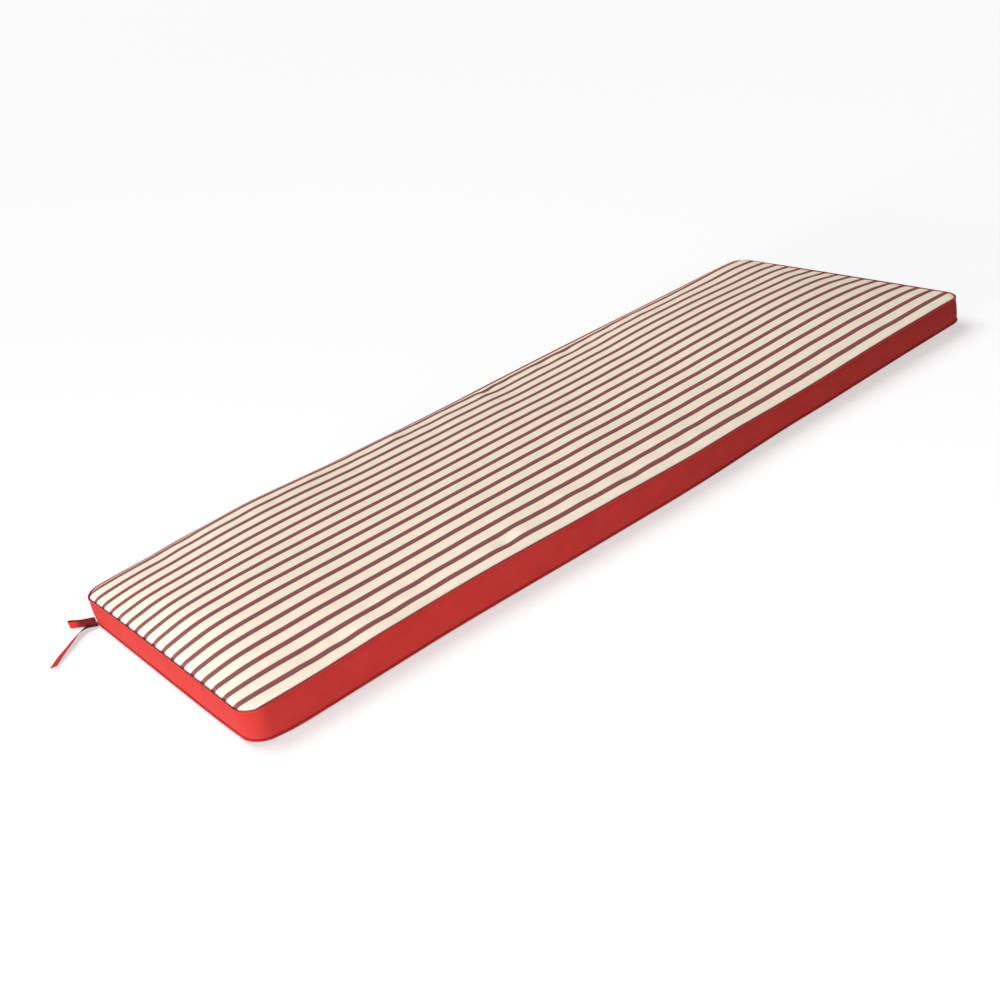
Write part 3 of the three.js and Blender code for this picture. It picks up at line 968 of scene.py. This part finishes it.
def cloth_material(
    name, colour, sheen=0.03, threads=1400, patches=0.16, patch_size=0.05, bump=0.35, turn=0
):
    """Plain woven cloth in one colour. turn lays the threads at an angle, as on a bias casing."""
    material, tree, shader, relief, place = new_material(name, sheen, bump)
    if turn:
        turned = {"Vector": place, "Rotation": (0, 0, math.radians(turn))}
        place = add(tree, "ShaderNodeMapping", turned).outputs[0]
    values = {"Place": place, "Colour": (*colour, 1), "Threads per metre": threads}
    values.update({"Patches": patches, "Patch size": patch_size, "Uneven yarn": 0.14})
    weave_into(tree, shader, relief, values)
    return material


def tie_material_with_painted_shade():
    """Flat tape, with painted shade darkening it over the stretch next to the cushion."""
    material = cloth_material("tie_tape", TIE_RED, threads=1900, patch_size=0.02, bump=0.5)
    tree = material.node_tree
    weave = next(node for node in tree.nodes if node.type == "GROUP")
    flat = next(node for node in tree.nodes if node.type == "UVMAP")
    # Painted shade: the tape darkens towards its root, by its run along the tape
    run = add(tree, "ShaderNodeSeparateXYZ", {0: flat.outputs[0]}).outputs["X"]
    values = {"Value": run, "From Min": TIE_PAINTED_SHADE_END[0] * MM, "From Max": TIE_PAINTED_SHADE_END[1] * MM}
    clear = add(tree, "ShaderNodeMapRange", values, interpolation_type="SMOOTHSTEP").outputs[0]
    tree.links.new(mix_colour(tree, "MIX", clear, TIE_PAINTED_SHADE_RED, TIE_RED), weave.inputs["Colour"])
    return material


def striped_material():
    """Cream cloth with dark red stripes along it."""
    material, tree, shader, relief, flat = new_material("striped_cloth", 0.05, 0.3)
    parts = add(tree, "ShaderNodeSeparateXYZ", {0: flat})
    wander = noise(tree, stretched(tree, flat, *WANDER_NOISE), 1, 1)
    wander = math_node(tree, "SUBTRACT", wander, 0.5)
    fray = noise(tree, stretched(tree, flat, *FRAY_NOISE), 1, 0)
    fray = math_node(tree, "SUBTRACT", fray, 0.5)
    across = math_node(tree, "MULTIPLY_ADD", wander, STRIPE_WANDER * MM, parts.outputs["Y"])
    across = math_node(tree, "MULTIPLY_ADD", fray, STRIPE_FRAY * MM, across)
    pitch = STRIPE_PITCH * MM
    shifted = math_node(tree, "SUBTRACT", across, (STRIPE_FIRST - STRIPE_PITCH / 2) * MM)
    shifted = math_node(tree, "ADD", shifted, STRIPES_SKIPPED * pitch)
    within = math_node(tree, "MODULO", shifted, pitch)
    from_middle = math_node(tree, "ABSOLUTE", math_node(tree, "SUBTRACT", within, pitch / 2))
    edge = {"Value": from_middle}
    edge["From Min"] = (STRIPE_WIDTH / 2 - STRIPE_BLUR) * MM
    edge["From Max"] = (STRIPE_WIDTH / 2 + STRIPE_BLUR) * MM
    edge.update({"To Min": 1.0, "To Max": 0.0})
    stripe = add(tree, "ShaderNodeMapRange", edge, interpolation_type="SMOOTHSTEP").outputs[0]
    colour = mix_colour(tree, "MIX", stripe, CREAM, BURGUNDY)
    values = {"Place": flat, "Colour": colour, "Threads per metre": 1250}
    values.update({"Patches": 0.05, "Patch size": 0.12, "Uneven yarn": 0.10})
    weave_into(tree, shader, relief, values)
    return material


STRIPED_CLOTH = striped_material()
BOXING_CLOTH = cloth_material("boxing_cloth", RED, patches=0.3, patch_size=0.035)
UNDERSIDE_CLOTH = cloth_material("underside_cloth", UNDERSIDE_RED)
PIPING_CLOTH = cloth_material("piping_cloth", PIPING_RED, sheen=0.12, patch_size=0.02, turn=45)
TIE_TAPE_PAINTED_SHADE = tie_material_with_painted_shade()
# Thread of the seams, darker than the cloth as painted shade of the grooves it lies in
THREAD_AND_GROOVE_SHADE = cloth_material("thread_and_groove_shade", THREAD_RED_AND_GROOVE_SHADE, threads=3000, patch_size=0.01, bump=0.3)


# Stitches that follow a seam


def make_seam_stitches():
    """Geometry nodes: short stitches of thread along a line."""
    tree = bpy.data.node_groups.new("seam_stitches", "GeometryNodeTree")
    face = tree.interface
    face.new_socket(name="Line", in_out="INPUT", socket_type="NodeSocketGeometry")
    for label, metres in (("Pitch", 0.0036), ("Stitch length", 0.0029), ("Thread radius", 0.00032)):
        socket = face.new_socket(name=label, in_out="INPUT", socket_type="NodeSocketFloat")
        socket.default_value = metres
    face.new_socket(name="Thread", in_out="INPUT", socket_type="NodeSocketMaterial")
    face.new_socket(name="Stitches", in_out="OUTPUT", socket_type="NodeSocketGeometry")
    given, out = tree.nodes.new("NodeGroupInput"), tree.nodes.new("NodeGroupOutput")
    curve = add(tree, "GeometryNodeMeshToCurve", {"Mesh": given.outputs["Line"]})
    even = add(tree, "GeometryNodeResampleCurve", {"Curve": curve.outputs[0]}, mode="LENGTH")
    tree.links.new(given.outputs["Pitch"], even.inputs["Length"])
    tangent = tree.nodes.new("GeometryNodeInputTangent")
    turn = add(tree, "FunctionNodeAlignRotationToVector", {"Vector": tangent.outputs[0]}, axis="Z")
    thread = add(tree, "GeometryNodeMeshUVSphere", {"Segments": 6, "Rings": 5, "Radius": 1.0})
    half = math_node(tree, "MULTIPLY", given.outputs["Stitch length"], 0.5)
    radius = given.outputs["Thread radius"]
    size = add(tree, "ShaderNodeCombineXYZ", {0: radius, 1: radius, 2: half})
    values = {"Points": even.outputs[0], "Instance": thread.outputs[0]}
    values.update({"Rotation": turn.outputs[0], "Scale": size.outputs[0]})
    placed = add(tree, "GeometryNodeInstanceOnPoints", values)
    whole = add(tree, "GeometryNodeRealizeInstances", {0: placed.outputs[0]})
    smooth = add(tree, "GeometryNodeSetShadeSmooth", {"Geometry": whole.outputs[0]})
    finish = add(tree, "GeometryNodeSetMaterial", {"Geometry": smooth.outputs[0]})
    tree.links.new(given.outputs["Thread"], finish.inputs["Material"])
    tree.links.new(finish.outputs[0], out.inputs["Stitches"])
    return tree


SEAM_STITCHES = make_seam_stitches()


def stitches_mesh(name, inset, height_at):
    """Runs the stitches round a line just inside a seam and keeps the result as a plain mesh."""
    plan = Plan(*STITCH_NET)
    line = plan.rim(inset)
    height = height_at(line)
    points = np.column_stack([line.x, line.y, height])[:-1] * MM
    count = len(points)
    path = bpy.data.meshes.new(name)
    path.from_pydata(points.tolist(), [(k, (k + 1) % count) for k in range(count)], [])
    holder = bpy.data.objects.new(name, path)
    bpy.context.scene.collection.objects.link(holder)
    modifier = holder.modifiers.new("stitches", "NODES")
    modifier.node_group = SEAM_STITCHES
    sockets = {item.name: item.identifier for item in SEAM_STITCHES.interface.items_tree}
    modifier[sockets["Thread"]] = THREAD_AND_GROOVE_SHADE
    bpy.context.view_layer.update()
    sewn = holder.evaluated_get(bpy.context.evaluated_depsgraph_get())
    baked = bpy.data.meshes.new_from_object(sewn)
    bpy.data.objects.remove(holder)
    flat = baked.uv_layers.new(name="flat")
    places = np.empty(len(baked.vertices) * 3, np.float32)
    baked.vertices.foreach_get("co", places)
    corners = np.empty(len(baked.loops), np.int32)
    baked.loops.foreach_get("vertex_index", corners)
    flat.data.foreach_set("uv", places.reshape(-1, 3)[corners][:, :2].ravel())
    return baked


# Camera, light and floor


def make_camera():
    camera = bpy.data.objects.new("camera", bpy.data.cameras.new("camera"))
    camera.data.lens = CAMERA_LENS
    camera.data.sensor_width = CAMERA_SENSOR
    camera.data.sensor_fit = "HORIZONTAL"
    camera.data.clip_end = CAMERA_SEES
    turn = Matrix((CAMERA_RIGHT, CAMERA_UP, -CAMERA_AHEAD)).transposed().to_4x4()
    camera.matrix_world = Matrix.Translation(CAMERA_PLACE) @ turn
    bpy.context.scene.collection.objects.link(camera)
    bpy.context.scene.camera = camera


def add_area_light(name, place, target, width, height, power, colour):
    """A soft light at a place, facing a target, that the camera doesn't see."""
    lamp = bpy.data.lights.new(name, "AREA")
    lamp.shape = "RECTANGLE"
    lamp.size, lamp.size_y = width, height
    lamp.energy = power
    lamp.color = colour
    light = bpy.data.objects.new(name, lamp)
    light.location = place
    light.rotation_euler = (Vector(target) - Vector(place)).to_track_quat("-Z", "Y").to_euler()
    light.visible_camera = False
    bpy.context.scene.collection.objects.link(light)


def add_sky_light(name, direction, strength, softness):
    """A broad even light from far away in that direction."""
    lamp = bpy.data.lights.new(name, "SUN")
    lamp.energy = strength
    lamp.angle = math.radians(softness)
    light = bpy.data.objects.new(name, lamp)
    light.rotation_euler = Vector(direction).to_track_quat("Z", "Y").to_euler()
    bpy.context.scene.collection.objects.link(light)


def make_floor():
    """A wide sheet of pale paper just under the cushion."""
    mesh = bpy.data.meshes.new("floor")
    corners = ((-1, -1), (1, -1), (1, 1), (-1, 1))
    points = [(x * FLOOR_REACH, y * FLOOR_REACH, FLOOR_HEIGHT) for x, y in corners]
    mesh.from_pydata(points, [], [(0, 1, 2, 3)])
    paper = bpy.data.materials.new("floor_paper")
    paper.use_nodes = True
    shader = paper.node_tree.nodes["Principled BSDF"]
    shader.inputs["Base Color"].default_value = FLOOR_GREY
    shader.inputs["Roughness"].default_value = FLOOR_ROUGHNESS
    shader.inputs["Emission Color"].default_value = WHITE
    shader.inputs["Emission Strength"].default_value = FLOOR_GLOW
    mesh.materials.append(paper)
    floor = bpy.data.objects.new("floor", mesh)
    bpy.context.scene.collection.objects.link(floor)


def make_studio():
    scene = bpy.context.scene
    scene.view_settings.view_transform = "Standard"
    world = bpy.data.worlds.new("studio")
    world.use_nodes = True
    background = world.node_tree.nodes["Background"]
    background.inputs["Color"].default_value = WHITE
    background.inputs["Strength"].default_value = WORLD_LIGHT
    scene.world = world
    add_area_light("key", **KEY_LIGHT)
    add_area_light("side", **SIDE_LIGHT)
    add_sky_light("overhead", **OVERHEAD_LIGHT)
    make_floor()


# The cushion, put together


def top_groove(line):
    """Height of the stitches beside the top piping."""
    return seam_height(line) + CLOTH - PANEL_EDGE_DROP - EDGE_TUCK + TOP_STITCH_LIFT


def bottom_groove(line):
    """Height of the stitches beside the bottom piping."""
    return hem_height(line) - CLOTH / 2 - PANEL_EDGE_DROP + BOTTOM_STITCH_LIFT


def make_cushion():
    cover = Cover()
    body_mesh = filled_body_mesh(cover)
    body = place_piece("filled_body", body_mesh, BOXING_CLOTH, "boxed_body")
    top_mesh = top_panel_mesh(cover)
    top = place_piece("striped_top", top_mesh, STRIPED_CLOTH, "top_panel")
    under_mesh = underside_panel_mesh()
    under = place_piece("underside", under_mesh, UNDERSIDE_CLOTH, "underside_panel")
    for name, height_at, seed, node in (
        ("piping_top", seam_height, TOP_PIPING_SEED, "top_piping"),
        ("piping_bottom", hem_height, BOTTOM_PIPING_SEED, "bottom_piping"),
    ):
        place_piece(name, piping_mesh(name, height_at, seed), PIPING_CLOTH, node)
    folded, folded_length = tape_mesh("tie_folded", FOLDED_STRAND, FOLDED_CUPPING)
    free, free_length = tape_mesh("tie_free", FREE_STRAND, FREE_CUPPING)
    tie_folded = place_piece("tie_folded", folded, TIE_TAPE_PAINTED_SHADE, "tie_folded_strand")
    tie_free = place_piece("tie_free", free, TIE_TAPE_PAINTED_SHADE, "tie_free_strand")
    # Dark stitches in the seam grooves: thread, and painted shade of the grooves
    for name, inset, groove in (
        ("stitches_top", TOP_STITCH_INSET, top_groove),
        ("stitches_bottom", BOTTOM_STITCH_INSET, bottom_groove),
    ):
        stitches = stitches_mesh(name, PANEL_INSET + inset, groove)
        place_piece(name, stitches, THREAD_AND_GROOVE_SHADE, None)


make_camera()
make_studio()
make_cushion()
